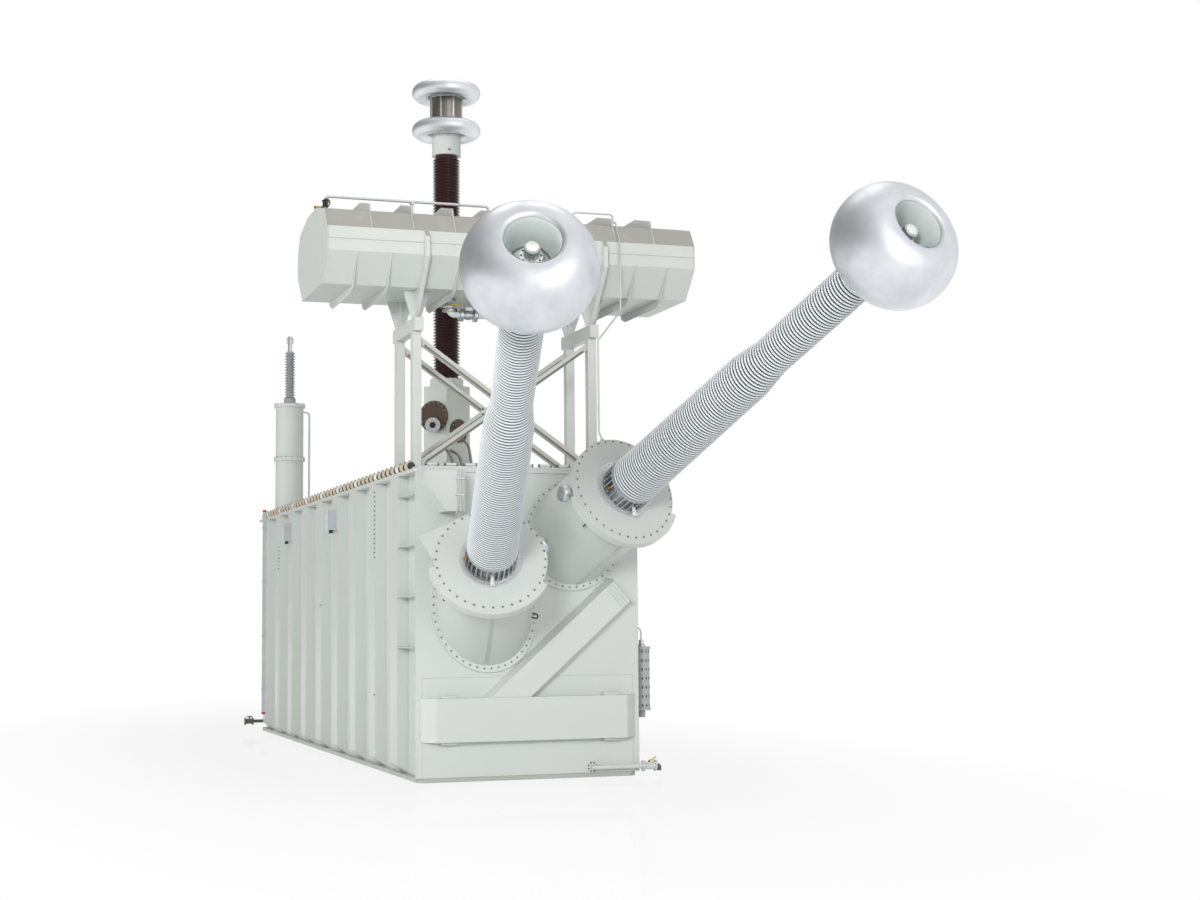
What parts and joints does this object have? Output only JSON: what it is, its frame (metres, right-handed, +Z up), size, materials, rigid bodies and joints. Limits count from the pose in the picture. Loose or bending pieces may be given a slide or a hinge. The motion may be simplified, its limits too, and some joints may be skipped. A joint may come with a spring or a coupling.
{
  "type": "power transformer",
  "caption": "Converter power transformer: ribbed oil tank with inclined valve bushings under round corona shields, line and neutral bushings, and a conservator on a gantry",
  "frame": {"origin": "centre of the underside of the base plate, on the ground", "axes": "+Z up, -Y toward the valve bushings on the front wall, +X to the right seen from that front"},
  "size_m": [5.6532, 21.0232, 10.957],
  "materials": {
    "tank_paint": "satin grey-green paint",
    "cast_aluminium": "cast and machined",
    "silicone_sheds": "matt pale grey silicone",
    "spun_aluminium": "spun, brushed, slightly mottled",
    "brown_porcelain": "glossy brown glaze on porcelain",
    "grey_porcelain": "glossy grey glaze on porcelain",
    "clamp_cover": "matt beige",
    "galvanized_steel": "galvanized",
    "blanking_cover": "matt red-brown primer"
  },
  "bodies": {
    "root": {"base_plate": "tank_paint", "tank_body": "tank_paint", "front_plate": "tank_paint", "tank_flange": "tank_paint", "cover_plate": "tank_paint", "left_stiffeners": "tank_paint", "right_stiffeners": "tank_paint", "rear_stiffeners": "tank_paint", "corner_gussets": "tank_paint", "front_beam": "tank_paint", "slope_box": "tank_paint", "left_turret": "tank_paint", "left_turret_cover": "tank_paint", "left_bushing_flange": "cast_aluminium", "left_bushing": "silicone_sheds", "left_shield": "spun_aluminium", "left_terminal": "cast_aluminium", "right_turret": "tank_paint", "right_turret_cover": "tank_paint", "right_bushing_flange": "cast_aluminium", "right_bushing": "silicone_sheds", "right_shield": "spun_aluminium", "right_terminal": "cast_aluminium", "nozzle_caps": "cast_aluminium", "line_turret": "tank_paint", "branch_cover": "blanking_cover", "line_bushing": "brown_porcelain", "line_collar": "tank_paint", "corona_rings": "spun_aluminium", "neutral_turret": "tank_paint", "neutral_bushing": "grey_porcelain", "neutral_terminal": "cast_aluminium", "gantry_legs": "tank_paint", "gantry_beams": "tank_paint", "front_brace": "tank_paint", "back_brace": "tank_paint", "conservator_shell": "tank_paint", "conservator_left_end": "tank_paint", "conservator_right_end": "tank_paint", "conservator_ribs": "tank_paint", "conservator_saddles": "tank_paint", "cover_clamps": "clamp_cover", "vent_pipe": "galvanized_steel", "turret_vent": "galvanized_steel", "oil_pipe": "tank_paint", "breather": "cast_aluminium", "front_drain": "galvanized_steel", "rear_drain": "galvanized_steel", "cable_duct": "galvanized_steel", "junction_boxes": "galvanized_steel"}
  },
  "joints": []
}
